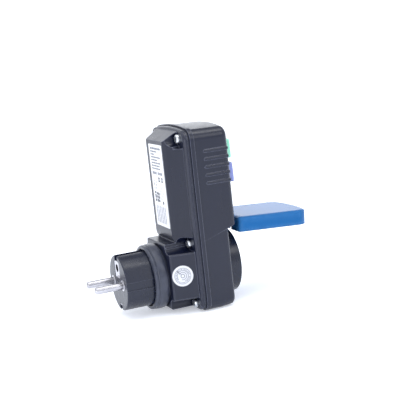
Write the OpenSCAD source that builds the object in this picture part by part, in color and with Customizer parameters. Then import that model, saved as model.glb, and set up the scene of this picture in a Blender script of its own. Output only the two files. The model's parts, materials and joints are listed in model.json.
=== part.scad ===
// Portable residual current device: a plug-in adapter with a side-contact plug at the back,
// a socket with a hinged lid at the front, and the trip electronics above the socket.
// The housing stands upright. Z is up, the plug points along +Y and the socket faces -Y.
// The origin is the middle of the flat foot under the front cover. Distances along y are
// measured from the seam between the two covers, and every piece is then moved back by seam_y.

/* [Housing] */
// Width of the housing at its rim
body_w = 62; // [58:0.5:70]
// Height of the housing
body_h = 120.9; // [118:0.1:130]
// Radius of the four corners of the outline
corner_r = 8; // [6:0.5:10]
// Radius of the arched top
arch_r = 180; // [150:5:260]
// Wall of both covers
wall = 2.4; // [2:0.1:2.8]
// Depth of the upper front from the seam
front_d = 26.7; // [25:0.1:30]
// Depth of the lower front, round the socket, from the seam
lower_d = 21; // [20:0.1:22]
// Height at which the upper front steps back to the lower front
step_z = 52.2; // [51.5:0.1:54]
// Width of the gap between the covers that the seal fills
seam_gap = 1.4; // [1:0.1:1.8]
// Width of the raised rim of the front cover
rim_w = 2.8; // [2:0.1:3.4]

/* [Rear housing] */
// Distance of the label panel behind the seam
panel_y = 13; // [12:0.1:14]
// Distance of the label panel's top edge below the top of the housing
panel_drop = 8.9; // [8.4:0.1:11]
// Height of the bottom edge of the label panel
panel_bottom_z = 47; // [46.6:0.1:48]
// Distance of the rear housing's sides inside the rim, where it meets the rim
rear_inset = 2.9; // [2.6:0.1:3.4]
// Distance of the plug block's rear face behind the seam
block_y = 19.6; // [19:0.1:21]
// Distance of the plug block's sides inside the rim, at the block's rear face
block_inset = 6.6; // [6:0.1:7.2]
// Height of the underside of the plug block
block_bottom_z = 2.8; // [2.2:0.1:3.2]
// Height of the top of the plug block
block_top_z = 46; // [45:0.1:46.5]

/* [Screws] */
// Distance of the case screws inside the sides of the housing
screw_inset = 10; // [9.7:0.1:10.2]
// Height of the lower case screws
low_screw_z = 5.3; // [5:0.1:5.6]
// Height of the middle case screws
mid_screw_z = 45; // [44.5:0.1:45.5]
// Distance of the upper case screws below the top of the housing
screw_drop = 7.9; // [7.6:0.1:8.2]
// Radius of the screw pockets in the rear cover
pocket_r = 4.6; // [4.2:0.1:4.7]
// Distance of the screw seats behind the seam
seat_y = 3.4; // [3.2:0.1:3.8]
// Radius of a screw head
head_r = 3; // [2.6:0.1:3.2]
// Height of a screw head
head_h = 2.2; // [1.8:0.1:2.6]
// Radius of a screw shank
shank_r = 1.45; // [1.2:0.05:1.6]
// Length of a screw below its head
shank_len = 15; // [12:0.5:17]

/* [Plug] */
// Height of the plug's axis
plug_z = 23.3; // [23.1:0.1:23.5]
// Radius of the plug body
plug_r = 18.4; // [18:0.1:18.5]
// Distance of the plug's face behind the seam
plug_face_y = 48; // [46:0.5:52]
// Radius of a plug pin
pin_r = 2.4; // [2.2:0.05:2.4]
// Length of a pin in front of the plug's face
pin_len = 19; // [18:0.5:20]
// Distance between the centres of the two pins
pin_pitch = 19; // [18.5:0.1:19.5]
// Depth of the earth hole in the plug's face
earth_hole_d = 15.3; // [14:0.1:16]
// Thickness of the soft collar round the plug
ring_t = 3.3; // [3:0.1:3.5]
// Distance of the soft collar's end behind the seam
ring_y = 29.4; // [28:0.1:31]

/* [Socket] */
// Height of the socket's axis
socket_z = 25.1; // [25:0.1:25.4]
// Outer radius of the socket collar
collar_r = 21.8; // [21.4:0.1:21.9]
// Radius of the socket well
well_r = 19.75; // [19.5:0.05:19.9]
// Depth of the socket well
well_d = 17.5; // [17:0.1:18]
// Distance of the collar's front edge in front of the seam
collar_y = 31.2; // [30.5:0.1:31.5]

/* [Lid] */
// Half of the width of the lid
lid_half = 24.3; // [24:0.1:24.8]
// Length of the lid from its hinge axis to its free end
lid_len = 50.8; // [50.2:0.1:51.2]
// Length of the lid beyond its hinge axis
lid_over = 2.3; // [2:0.1:2.5]
// Height of the lid's skirt
lid_h = 9.8; // [9:0.1:10]
// Wall of the lid's skirt
lid_wall = 1.6; // [1.4:0.1:1.7]
// Thickness of the lid's top plate
lid_top = 2.2; // [1.8:0.1:2.3]
// Height of the hinge axis
hinge_z = 51.5; // [51.3:0.1:51.8]
// Distance of the hinge axis in front of the seam
hinge_y = 33.3; // [33:0.1:33.8]
// Angle by which the lid stands open
lid_open = 86.4; // [70:0.1:90]
// Radius of the hinge pin
hinge_pin_r = 1; // [0.8:0.05:1.1]

/* [Buttons] */
// Distance of the buttons' ends inside the sides of the housing
button_inset = 11; // [10.5:0.1:15]
// Distance of the reset button's centre below the top of the housing
reset_drop = 18.7; // [18.3:0.1:19.3]
// Height of the reset button's face
reset_h = 12.9; // [10:0.1:13]
// Distance of the test button's centre below the top of the housing
test_drop = 34.2; // [34:0.1:34.6]
// Height of the test button's face
test_h = 13.4; // [10:0.1:13.6]
// How far the reset button stands out of the front face
button_out = 6.1; // [5:0.1:7]
// Distance that a button travels
button_travel = 2.5; // [1.5:0.1:2.6]

/* [Labels] */
// Margin of the label on the side of the round label
label_left = 1.5; // [1:0.1:3]
// Margin of the label on the other side
label_right = 4.4; // [3:0.1:5]
// Distance between the rating label and the top edge of its panel
label_top = 2.4; // [1.5:0.1:4]
// Distance between the rating label and the bottom edge of its panel
label_bottom = 8.1; // [6.4:0.1:9]
// Radius of the round label
disc_r = 6.8; // [6:0.1:7.2]
// Height of the round label's centre
disc_z = 26; // [25:0.1:27]

/* [Inside] */
// Distance of the circuit board's front face in front of the seam
board_y = 9; // [8.6:0.1:9.6]
// Thickness of the circuit board
board_t = 1.6; // [1.2:0.1:2]
// Height of the board's lower edge
board_low_z = 57; // [56:0.1:58]
// Distance of the board's upper edge below the top of the housing
board_drop = 12.4; // [12:0.1:14]
// Radius of the insulated wires
wire_r = 1.2; // [1:0.05:1.3]
// Width, height and depth of the trip relay
relay_w = 28; // [20:0.5:30]
relay_h = 15; // [12:0.5:15]
relay_d = 12.4; // [10:0.1:12.5]
// Outer radius, hole radius and depth of the current transformer
core_r = 10; // [8:0.1:10]
core_hole_r = 4.4; // [4:0.1:5]
core_d = 9.4; // [8:0.1:9.6]
// Radius and length of the capacitor
cap_r = 4.2; // [3:0.1:4.4]
cap_len = 12; // [10:0.5:14]
// Radius and thickness of the varistor's disc
disc_body_r = 5; // [4:0.1:5.2]
disc_body_t = 4; // [3:0.1:5]

/* [Hidden] */
$fn = 64;
eps = 0.01;
// Clearance of a fit within one body, between bodies, and round a turning pin
snug = 0.1;
gap = 0.3;
pin_gap = 0.15;
half_w = body_w / 2;
rear_half = half_w - rear_inset;
block_half = half_w - block_inset;
screw_x = half_w - screw_inset;
screw_z = [low_screw_z, mid_screw_z, body_h - screw_drop];
panel_top_z = body_h - panel_drop;
panel_slope = 0.6;
ring_r = plug_r + ring_t;
button_half = half_w - button_inset;
reset_z = body_h - reset_drop;
test_z = body_h - test_drop;
seam_front = -0.4;
seam_rear = seam_front + seam_gap;
rim_front = seam_front - rim_w;
side_inset = 0.8;
side_draft = 0.45;
front_fillet = 3.2;
lower_fillet = 2.1;
shoulder = 1;
gasket_inset = 1.2;
gasket_w = 2.2;
boss_r = 3.2;
shell_inset = wall + 0.6;
step_lean = 0.32;
foot_front = -12;
foot_rise = 0.6;
seam_y = -(foot_front + seam_front) / 2;
pilot_r = shank_r + 0.05;
screw_hole_r = shank_r + 0.25;
wide_top_z = screw_z[1] - pocket_r;
wide_bottom_z = screw_z[0] + pocket_r;
block_wall_y = block_y - wall + 0.2;
narrow_half = screw_x - pocket_r;
panel_half = narrow_half - 1.4;
label_low_z = panel_bottom_z + label_bottom;
label_high_z = panel_top_z - label_top;
label_half = panel_half - (label_left + label_right) / 2;
label_x = (label_left - label_right) / 2;
bevel = 1.8;
bevel_y = 1.8;
panel_round = 1.6;
notch_wall = 1.7;
lip_w = 1.1;
top_ledge = 1.4;
console_half = button_half + 2;
console_d = 2.2;
console_y = front_d + console_d;
console_low_z = test_z - test_h / 2 - 2;
console_high_z = reset_z + reset_h / 2 + 2;
button_round = 1.5;
button_bend = 400;
flange_w = 1.5;
flange_t = 1.5;
flange_y = front_d - wall - gap;
stem_r = 1.6;
rib_r = 0.95;
rib_pitch = 5.15;
rib_count = 5;
rib_low_z = body_h - 37.5;
rib_start_y = 9.8;
board_back_y = -board_y + board_t;
board_half = half_w - 4.6;
board_high_z = body_h - board_drop;
core_z = board_low_z + core_r + 0.6;
relay_high_z = board_high_z - 3;
cap_x = relay_w / 2 + 0.8 + cap_r;
post_r = 1.5;
post_x = half_w - 5;
switch_h = 3.7;
spring_r = 4.9;
spring_wire_r = 0.35;
spring_turns = 5;
ring_back_y = block_y + 1;
ring_groove_y = ring_y - 2.3;
ring_lip_r = 1.3;
strip_level = plug_r - 4;
shank_of_pin_r = pin_r - 0.4;
earth_hole_r = 2.6;
sleeve_r = earth_hole_r + 0.7;
earth_plate_y = plug_face_y - 0.2;
flange_of_pin_r = pin_r + 1.2;
ridge_r = 0.55;
hinge_r = 2.6;
lug_r = 2.7;
lug_in = 6.5;
lug_out = 10.5;
pin_x = pin_pitch / 2;
pin_end_y = 11;
wire_y = 8.2;
well_floor_y = well_d - collar_y;
floor_t = 2;
insert_back_y = well_floor_y + floor_t;
clip_w = 4;
clip_t = 0.8;
clip_root = 5;
spring_set = 4;
fork_d = 7.3;
fork_in = 3;
fork_out = 2.8;
tail_rise = 4;
spring_level = well_r - 0.4;
earth_hole_z = plug_z + 10;
lid_face_y = hinge_y + 5;
button_y = front_d + button_out;
lid_back_y = lid_face_y - lid_h;
lid_swing_y = hinge_y - lid_over - 1.2;

// Points along an arc
function arc(cx, cy, r, a0, a1, n) =
    [for (i = [0:n]) let (a = a0 + (a1 - a0) * i / n) [cx + r * cos(a), cy + r * sin(a)]];

// Outline with round corners and one arched end: the flat end is at low and the arch reaches high
function arched(half, low, high, r_low, r_high, bend, inset = 0) =
    let (
        h = half - inset,
        top = high - inset,
        bow = bend - inset,
        rl = max(r_low - inset, 0.2),
        rh = max(r_high - inset, 0.4),
        cz = top - bow + sqrt(pow(bow - rh, 2) - pow(h - rh, 2)),
        tilt = atan2(cz - top + bow, h - rh)
    )
    concat(
        arc(h - rl, low + rl, rl, -90, 0, 6),
        arc(h - rh, cz, rh, 0, tilt, 7),
        arc(0, top - bow, bow, tilt, 180 - tilt, 12),
        arc(rh - h, cz, rh, 180 - tilt, 180, 7),
        arc(rl - h, low + rl, rl, 180, 270, 6)
    );

// Outline of the housing, made smaller by an inset, with its flat end at low
function housing(inset, low, r_low = corner_r) =
    arched(half_w, low, body_h, r_low, corner_r, arch_r, inset);

// Point at t on a curve with one control point
function bend_point(a, b, c, t) = a * pow(1 - t, 2) + b * 2 * t * (1 - t) + c * pow(t, 2);

// Moves a piece from the seam's frame to the foot's frame
module from_seam() {
    translate([0, seam_y, 0])
        children();
}

// Upright slab from the plane y = y0 to y = y1, with its outline in x and z
module slab(y0, y1) {
    translate([0, y1, 0])
        rotate([90, 0, 0])
            linear_extrude(y1 - y0)
                children();
}

// Round bar along y from y0 to y1
module bar_y(x, z, r, y0, y1) {
    translate([x, y1, z])
        rotate([90, 0, 0])
            cylinder(h = y1 - y0, r = r);
}

// Round bar along x from x0 to x1
module bar_x(y, z, r, x0, x1) {
    translate([x0, y, z])
        rotate([0, 90, 0])
            cylinder(h = x1 - x0, r = r);
}

// Turned piece about a horizontal axis: its profile is a radius and a distance along +y
module turned(z) {
    translate([0, 0, z])
        rotate([-90, 0, 0])
            rotate_extrude($fn = 96)
                children();
}

// Block between two corners
module block(a, b) {
    translate(a)
        cube(b - a);
}

// Both mirror images of a piece about the plane x = 0
module both_sides() {
    children();
    mirror([1, 0, 0])
        children();
}

// Closed skin over a list of rings of points, each ring with the same number of sides
module skinned(points, sides) {
    rings = len(points) / sides - 1;
    wall_faces = [for (i = [0:rings - 1]) for (k = [0:sides - 1])
        let (a = i * sides + k, b = i * sides + (k + 1) % sides) [a, b, b + sides, a + sides]];
    start = [for (k = [sides - 1:-1:0]) k];
    end = [for (k = [0:sides - 1]) rings * sides + k];
    polyhedron(points, concat(wall_faces, [start, end]));
}

function unit(v) = v / norm(v);

// Route with each inner corner replaced by a short curve that starts at a distance from it
function rounded_route(p, reach) =
    concat([p[0]], [for (i = [1:len(p) - 2]) for (k = [0:4])
        bend_point(p[i] + unit(p[i - 1] - p[i]) * reach, p[i], p[i] + unit(p[i + 1] - p[i]) * reach, k / 4)],
        [p[len(p) - 1]]);

// Ring of points round a route's point, square to its direction, for a route never along x
function route_ring(at, along, r, sides) =
    let (u = unit(cross(along, [1, 0, 0])), v = cross(unit(along), u))
    [for (k = [0:sides - 1]) at + r * (u * cos(360 * k / sides) + v * sin(360 * k / sides))];

// Insulated wire along a route
module wire(route, r) {
    sides = 12;
    p = rounded_route(route, 2);
    last = len(p) - 1;
    skinned([for (i = [0:last])
        let (along = unit(p[min(i + 1, last)] - p[i] + p[i] - p[max(i - 1, 0)]))
        for (q = route_ring(p[i], along, r, sides)) q], sides);
}

// Depth of the front shell's edge at an angle of its fillet, as inset and distance
function fillet_inset(r, a) = side_inset + side_draft + r * (1 - cos(a));
function fillet_y(depth, r, a) = -depth + r * (1 - sin(a));

// Outer form of the upper front, which stands proud of the lower front
module upper_front() {
    hull() {
        slab(rim_front - eps, rim_front)
            polygon(housing(side_inset, step_z - step_lean * (lower_d - rim_w), 0.5));
        for (a = [0:22.5:90]) {
            y = fillet_y(front_d, front_fillet, a);
            slab(y, y + eps)
                polygon(housing(fillet_inset(front_fillet, a),
                    step_z - step_lean * (lower_d + y) + 0.7 * (1 - cos(a)), 0.5));
        }
    }
}

// Outer form of the lower front, whose underside is the foot that the device stands on
module lower_front() {
    hull() {
        slab(rim_front - eps, rim_front)
            polygon(housing(side_inset + 0.05, 0));
        slab(foot_front, foot_front + eps)
            polygon(housing(side_inset + 0.25, 0));
        for (a = [0:30:90]) {
            y = fillet_y(lower_d, lower_fillet, a);
            slab(y, y + eps)
                polygon(housing(fillet_inset(lower_fillet, a) + 0.05,
                    foot_rise + lower_fillet * (1 - cos(a))));
        }
    }
}

// Raised surround of the two buttons
module console() {
    slab(-console_y + 0.6, -front_d + 1)
        polygon(arched(console_half, console_low_z, console_high_z, 3, 3, arch_r));
    slab(-console_y, -console_y + 0.7)
        polygon(arched(console_half, console_low_z + 0.6, console_high_z, 3, 3, arch_r, 0.6));
}

// Lug that carries one end of the hinge pin
module hinge_lug() {
    difference() {
        union() {
            bar_x(-hinge_y, hinge_z, lug_r, lug_in, lug_out);
            translate([lug_in, 0, 0])
                rotate([90, 0, 90])
                    linear_extrude(lug_out - lug_in)
                        polygon([[-hinge_y, hinge_z - lug_r], [-lower_d + 1, hinge_z - lug_r],
                            [-lower_d + 1, hinge_z + 8], [-front_d + 1, hinge_z + 8],
                            [-front_d, hinge_z + 7], [-lid_swing_y, hinge_z + lug_r],
                            [-hinge_y, hinge_z + lug_r]]);
        }
        bar_x(-hinge_y, hinge_z, hinge_pin_r + 0.02, lug_in - 1, lug_out + 1);
    }
}

// Raised grip ribs on the side of the front cover, round at their inner ends
module grip_ribs() {
    at_x = half_w - side_inset - side_draft;
    for (i = [0:rib_count - 1]) {
        bar_y(at_x, rib_low_z + i * rib_pitch, rib_r, -front_d + 0.9, -rib_start_y);
        translate([at_x, -rib_start_y, rib_low_z + i * rib_pitch])
            sphere(r = rib_r, $fn = 32);
    }
}

// Opening for a button in the console, with rounded corners
module button_hole(z, h) {
    slab(-console_y - 1, -front_d + wall + 1)
        polygon(arched(button_half, z - h / 2 - gap, z + h / 2, button_round, button_round,
            button_bend, -gap));
}

module front_cover() {
    color("#26272b")
    from_seam()
    difference() {
        union() {
            slab(rim_front, seam_front)
                polygon(housing(0, 0));
            upper_front();
            lower_front();
            console();
            both_sides() {
                hinge_lug();
                grip_ribs();
                for (z = screw_z)
                    bar_y(screw_x, z, boss_r, seam_front - 1, seam_rear - 0.05);
            }
        }
        difference() {
            union() {
                slab(-front_d + wall, seam_front + 0.3)
                    polygon(housing(shell_inset, step_z + wall + 1.2, 0.5));
                slab(-lower_d + wall, seam_front + 0.3)
                    polygon(housing(shell_inset, shell_inset));
            }
            both_sides() {
                for (z = screw_z)
                    bar_y(screw_x, z, boss_r, -front_d, seam_rear);
                for (z = [board_low_z + 8, board_high_z - 8])
                    bar_y(post_x, z, post_r, -front_d, -board_y);
            }
        }
        both_sides()
            for (z = screw_z)
                bar_y(screw_x, z, pilot_r, seat_y - shank_len - 1, seam_rear + 1);
        bar_y(0, socket_z, collar_r + snug, -front_d, -lower_d + wall + 1);
        button_hole(reset_z, reset_h);
        button_hole(test_z, test_h);
    }
}

// Outline of the upper rear housing in x and y, from the rim to the label panel
function rear_section(inset) =
    let (s = [[rear_half - inset, seam_rear], [rear_half - inset, 2.5],
        [panel_half + bevel - inset * 0.8, panel_y - bevel_y - inset],
        [panel_half - inset * 0.5, panel_y - inset]])
    concat(s, [for (i = [3:-1:0]) [-s[i][0], s[i][1]]]);

// Side profile of the upper rear housing in y and z, round at the bottom and sloping at the top
function rear_profile() =
    concat(
        [[seam_rear, block_top_z - 1], [panel_y - panel_round, block_top_z - 1]],
        [for (i = [0:6]) bend_point([panel_y - panel_round, panel_bottom_z],
            [panel_y, panel_bottom_z + 0.6], [panel_y, panel_bottom_z + 5.6], i / 6)],
        [[panel_y, panel_top_z], [seam_rear, panel_top_z + panel_slope * (panel_y - seam_rear)]]
    );

module rear_housing() {
    intersection() {
        linear_extrude(body_h + 1)
            polygon(rear_section(0));
        rotate([90, 0, 90])
            linear_extrude(body_w, center = true)
                polygon(rear_profile());
        slab(seam_rear, block_y)
            polygon(housing(shoulder + 1.5, shoulder + 1.5));
    }
}

// Block at the back that carries the plug, with a small bevel round its rear edge
module plug_block() {
    edge = 0.7;
    s = [[rear_half, seam_rear], [rear_half, 2.5], [block_half, block_y - edge],
        [block_half - edge, block_y]];
    intersection() {
        translate([0, 0, block_bottom_z])
            linear_extrude(block_top_z - block_bottom_z)
                polygon(concat(s, [for (i = [3:-1:0]) [-s[i][0], s[i][1]]]));
        rotate([90, 0, 90])
            linear_extrude(body_w, center = true)
                polygon([[0, block_bottom_z], [block_y - edge, block_bottom_z],
                    [block_y, block_bottom_z + edge], [block_y, block_top_z - edge],
                    [block_y - edge, block_top_z], [0, block_top_z]]);
    }
}

// Pocket for one case screw: a round channel along y that is open towards the side
module screw_pocket(z, low, high) {
    bar_y(screw_x, z, pocket_r, seat_y, block_y + 5);
    block([screw_x, seat_y, low], [body_w, block_y + 5, high]);
}

// Chamfer on the edge where the block's side wall meets a screw pocket at height z
module lip_chamfer(z) {
    start = seat_y + 0.3;
    translate([rear_half - (start - 2.5) * tan(side_lean()), start, z])
        rotate([0, 0, side_lean()])
            rotate([0, 45, 0])
                translate([-lip_w / 2, 0, -lip_w / 2])
                    cube([lip_w, block_y + 5, lip_w]);
}

// Space inside the rear cover, clear of the screw pockets
module rear_space() {
    difference() {
        translate([0, 0, screw_z[1] + pocket_r + 1.9])
            linear_extrude(screw_z[2] - screw_z[1] - 2 * pocket_r - 3.8)
                polygon(rear_section(wall - 0.1));
        block([-body_w, panel_y - wall, 0], [body_w, panel_y + 5, body_h]);
    }
    block([2 - narrow_half, 0, block_bottom_z + 1.9],
        [narrow_half - 2, panel_y - panel_round - notch_wall, board_low_z + 3]);
    block([2 - narrow_half, 0, block_bottom_z + 1.9], [narrow_half - 2, block_wall_y, block_top_z - 2.2]);
    block([wall - block_half, 0, wide_bottom_z + 2.1], [block_half - wall, block_wall_y, wide_top_z - 2]);
}

module rear_cover() {
    color("#232428")
    from_seam() {
        rear_shell();
        both_sides()
            bar_y(narrow_half + 0.1, mid_screw_z - 1.5, ridge_r, seat_y - 1, block_y - 0.8);
    }
}

module rear_shell() {
    difference() {
        union() {
            hull() {
                slab(seam_rear, seam_rear + 1.2)
                    polygon(housing(shoulder, shoulder));
                slab(seam_rear, seat_y - 0.4)
                    polygon(housing(shoulder + 0.5, shoulder + 0.5));
                slab(seam_rear, seat_y)
                    polygon(housing(shoulder + 1.5, shoulder + 1.5));
            }
            rear_housing();
            plug_block();
        }
        both_sides() {
            screw_pocket(screw_z[0], -1, wide_bottom_z);
            screw_pocket(screw_z[1], wide_top_z, screw_z[1] + pocket_r);
            screw_pocket(screw_z[2], screw_z[2] - pocket_r - top_ledge, body_h + 1);
            lip_chamfer(wide_top_z);
            lip_chamfer(wide_bottom_z);
        }
        rear_space();
        both_sides()
            for (z = screw_z)
                bar_y(screw_x, z, screw_hole_r, 0, seat_y + 1);
        bar_y(0, plug_z, plug_r + snug, block_wall_y - 1, block_y + 1);
        block([label_x - label_half - 0.2, panel_y - 0.1, label_low_z - 0.2],
            [label_x + label_half + 0.2, panel_y + 1, label_high_z + 0.2]);
    }
}

module seam_gasket() {
    color("#141416")
    from_seam()
    difference() {
        slab(seam_front, seam_rear)
            polygon(housing(gasket_inset, gasket_inset));
        slab(seam_front - 1, seam_rear + 1)
            polygon(housing(gasket_inset + gasket_w, gasket_inset + gasket_w));
        both_sides()
            for (z = screw_z)
                bar_y(screw_x, z, boss_r + snug, seam_front - 1, seam_rear + 1);
    }
}

// Notch and slot in the plug body for one of its two earth strips: side is 1 above and -1 below
module earth_notch(side) {
    floor = strip_level - clip_t / 2 - snug;
    mirror([0, 0, side > 0 ? 0 : 1]) {
        block([-clip_w / 2 - 0.6, ring_y - 1, floor], [clip_w / 2 + 0.6, plug_face_y + 1, plug_r + 1]);
        block([-clip_w / 2 - snug, 0, floor], [clip_w / 2 + snug, ring_y, floor + clip_t + 2 * snug]);
    }
}

// Flat on the plug's side at an angle above the pins' plane
module plug_flat(angle) {
    rotate([0, angle, 0])
        block([plug_r - 0.45, ring_y - 1.2, -6], [plug_r + 2, plug_face_y + 1, 6]);
}

module plug_body() {
    back = block_wall_y - 2;
    color("#2b2c31")
    from_seam()
    difference() {
        union() {
            turned(plug_z)
                polygon(concat([[0, back], [plug_r, back]],
                    arc(plug_r - 0.8, plug_face_y - 0.8, 0.8, 0, 90, 4), [[0, plug_face_y]]));
            intersection() {
                bar_y(0, plug_z, plug_r + 3, back, block_wall_y - 0.02);
                block([-body_w, back - 1, plug_z - 10], [body_w, block_y, plug_z + 10]);
            }
        }
        both_sides() {
            bar_y(pin_x, plug_z, shank_of_pin_r + 0.02, 0, plug_face_y + 1);
            bar_y(pin_x, plug_z, flange_of_pin_r + snug, plug_face_y - 0.6, plug_face_y + 1);
            translate([0, 0, plug_z]) {
                plug_flat(20.5);
                plug_flat(-20.5);
                block([plug_r - 1.1, ring_y - 2, -2.7], [plug_r + 1, plug_face_y + 1, 2.7]);
            }
        }
        translate([0, 0, plug_z]) {
            earth_notch(1);
            earth_notch(-1);
        }
        block([-5, plug_face_y - 1, plug_z + 3.2], [5, plug_face_y + 1, plug_z + strip_level]);
        bar_y(0, earth_hole_z, sleeve_r + snug, earth_plate_y - earth_hole_d - 1.5, plug_face_y + 1);
    }
}

module plug_collar() {
    color("#1d1d20")
    from_seam()
    turned(plug_z)
        polygon(concat(
            [[plug_r + snug, block_y + 0.02], [ring_r - 1.6, block_y + 0.02], [ring_r - 1.6, ring_back_y]],
            arc(ring_r - 0.8, ring_back_y + 0.6, 0.6, -90, 0, 3),
            [for (i = [1:8]) bend_point([ring_r - 0.2, ring_back_y + 0.6],
                [ring_r + 0.4, (ring_back_y + ring_groove_y) / 2],
                [ring_r - 0.2, ring_groove_y - 0.5], i / 8)],
            [[ring_r - 0.6, ring_groove_y], [ring_r - 0.2, ring_groove_y + 0.5]],
            arc(ring_r - 0.2 - ring_lip_r, ring_y - ring_lip_r, ring_lip_r, 0, 90, 6),
            [[plug_r + 0.9, ring_y], [plug_r + 0.9, ring_y - 2.4], [plug_r + snug, ring_y - 2.4]]));
}

// One plug pin with a rounded tip, a flange at its root and a screw hole in its inner end
module plug_pin() {
    tip = plug_face_y + pin_len;
    root = plug_face_y - 0.6;
    difference() {
        turned(plug_z)
            polygon(concat(
                [[0, pin_end_y], [shank_of_pin_r, pin_end_y], [shank_of_pin_r, root],
                    [flange_of_pin_r, root], [flange_of_pin_r, root + 0.8],
                    [flange_of_pin_r - 0.2, root + 1], [pin_r, root + 1]],
                arc(pin_r - 1.6, tip - 1.6, 1.6, 0, 90, 6),
                [[0, tip]]));
        bar_y(0, plug_z, 0.9, pin_end_y - 1, pin_end_y + 5);
    }
}

module pin_left() {
    color("#d8d9da")
    from_seam()
    translate([-pin_x, 0, 0])
        plug_pin();
}

module pin_right() {
    color("#d8d9da")
    from_seam()
    translate([pin_x, 0, 0])
        plug_pin();
}

module plug_earth() {
    back = block_wall_y - clip_root;
    end = earth_plate_y;
    color("#c9cacc")
    from_seam()
    translate([0, 0, plug_z])
    difference() {
        union() {
            for (side = [0, 1])
                mirror([0, 0, side])
                    block([-clip_w / 2, back, strip_level - clip_t / 2],
                        [clip_w / 2, end, strip_level + clip_t / 2]);
            block([-clip_w / 2, back, -strip_level], [clip_w / 2, back + clip_t, strip_level]);
            block([-4.8, end - clip_t, 3.4], [4.8, end, strip_level]);
            bar_y(0, earth_hole_z - plug_z, sleeve_r, end - earth_hole_d - 1, end);
        }
        bar_y(0, earth_hole_z - plug_z, earth_hole_r, end - earth_hole_d, plug_face_y + 1);
    }
}

module socket_insert() {
    front = -collar_y;
    color("#2a2b30")
    from_seam()
    difference() {
        union() {
            turned(socket_z)
                polygon(concat(
                    [[0, well_floor_y], [well_r, well_floor_y], [well_r, front + 0.6],
                        [well_r + 0.4, front]],
                    arc(collar_r - 0.8, front + 0.8, 0.8, -90, 0, 4),
                    [[collar_r, insert_back_y], [0, insert_back_y]]));
            difference() {
                bar_y(0, socket_z, collar_r + 2.4, -lower_d + wall + 0.02, -lower_d + wall + 2);
                bar_y(0, socket_z, well_r + 1, -lower_d, 0);
                block([-body_w, -lower_d, -5], [body_w, 0, shell_inset + 0.2]);
            }
            both_sides()
                block([well_r - 1.6, well_floor_y - 13, socket_z - 2.5],
                    [well_r + 0.5, well_floor_y + 0.5, socket_z + 2.5]);
        }
        both_sides()
            bar_y(pin_x, socket_z, pin_r + 0.35, well_floor_y - 1, insert_back_y + 1);
        for (side = [1, -1])
            translate([0, 0, socket_z])
                mirror([0, 0, side > 0 ? 0 : 1])
                    block([-clip_w / 2 - 0.3, front + 3, spring_level - 1.2],
                        [clip_w / 2 + 0.3, insert_back_y + 1, spring_level + clip_t / 2 + 0.1]);
    }
}

// Spring contact for one pin behind the well's floor: two blades on an upright strip that ends
// on the back of the circuit board. The way through it along y stays open for a long pin.
module contact_fork() {
    front = insert_back_y + 0.2;
    back = front + fork_d;
    blade = pin_r + 0.5;
    side = pin_x + fork_out;
    for (level = [blade, -blade - clip_t])
        block([pin_x - fork_in, front, socket_z + level], [side + clip_t, back, socket_z + level + clip_t]);
    block([side, front, socket_z - blade - clip_t], [side + clip_t, back, socket_z + blade + clip_t]);
    block([side, -board_y + board_t, socket_z], [side + clip_t, back, board_low_z + tail_rise]);
}

module contact_right() {
    color("#c08a3c")
    from_seam()
    contact_fork();
}

module contact_left() {
    color("#c08a3c")
    from_seam()
    mirror([1, 0, 0])
        contact_fork();
}

module socket_earth() {
    front = spring_set - collar_y;
    back = insert_back_y + 1.2;
    color("#c9cacc")
    from_seam()
    translate([0, 0, socket_z]) {
        for (side = [0, 1])
            mirror([0, 0, side]) {
                block([-clip_w / 2, front, spring_level - clip_t / 2],
                    [clip_w / 2, back, spring_level + clip_t / 2]);
                block([-clip_w / 2, front + 2, spring_level - clip_t - 0.2],
                    [clip_w / 2, front + 7, spring_level]);
            }
        block([-clip_w / 2, back - clip_t, -spring_level], [clip_w / 2, back, spring_level]);
    }
}

// Outline of the closed lid in x and z: it hangs from the hinge with its arched end down
function lid_outline(inset) =
    [for (p = arched(lid_half, inset - lid_over, lid_len, 1.6, 8, 90, inset)) [p[0], hinge_z - p[1]]];

// Turns a closed piece of the lid about the hinge pin to where it stands open
module opened() {
    translate([0, -hinge_y, hinge_z])
        rotate([-lid_open, 0, 0])
            translate([0, hinge_y, -hinge_z])
                children();
}

// Cap of the closed lid: a plate with a rounded edge and a skirt round it
module lid_shell() {
    difference() {
        hull() {
            slab(-lid_back_y - eps, -lid_back_y)
                polygon(lid_outline(0));
            for (a = [0:30:90]) {
                y = fillet_y(lid_face_y, 1.4, a);
                slab(y, y + eps)
                    polygon(lid_outline(1.4 * (1 - cos(a))));
            }
        }
        slab(-lid_face_y + lid_top, 0)
            polygon(lid_outline(lid_wall));
        both_sides() {
            bar_x(-hinge_y, hinge_z, lug_r + gap, lug_in - gap, lug_out + gap);
            block([lug_in - gap, -hinge_y, hinge_z - lug_r - gap], [lug_out + gap, 0, hinge_z + 1]);
            block([lug_in - gap, -hinge_y - lug_r - gap, hinge_z],
                [lug_out + gap, 0, hinge_z + lid_over + 1]);
        }
    }
}

module lid() {
    color("#2c6fb3")
    from_seam()
    opened()
    difference() {
        union() {
            lid_shell();
            bar_x(-hinge_y, hinge_z, hinge_r, gap - lug_in, lug_in - gap);
            block([gap - lug_in, -lid_face_y + lid_top - 0.2, hinge_z - 1.2],
                [lug_in - gap, -hinge_y - 1.5, hinge_z + lid_over - 0.2]);
        }
        bar_x(-hinge_y, hinge_z, hinge_pin_r + pin_gap, -lug_out - gap, lug_out + gap);
    }
}

module lid_seal() {
    color("#4a4b50")
    from_seam()
    opened()
    turned(socket_z)
        polygon([[collar_r - 1.6, -lid_face_y + lid_top], [collar_r + 0.3, -lid_face_y + lid_top],
            [collar_r + 0.3, -collar_y - 1.2], [collar_r - 0.2, -collar_y - 0.4],
            [collar_r - 1.2, -collar_y - 0.4], [collar_r - 1.6, -collar_y - 1.2]]);
}

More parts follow.
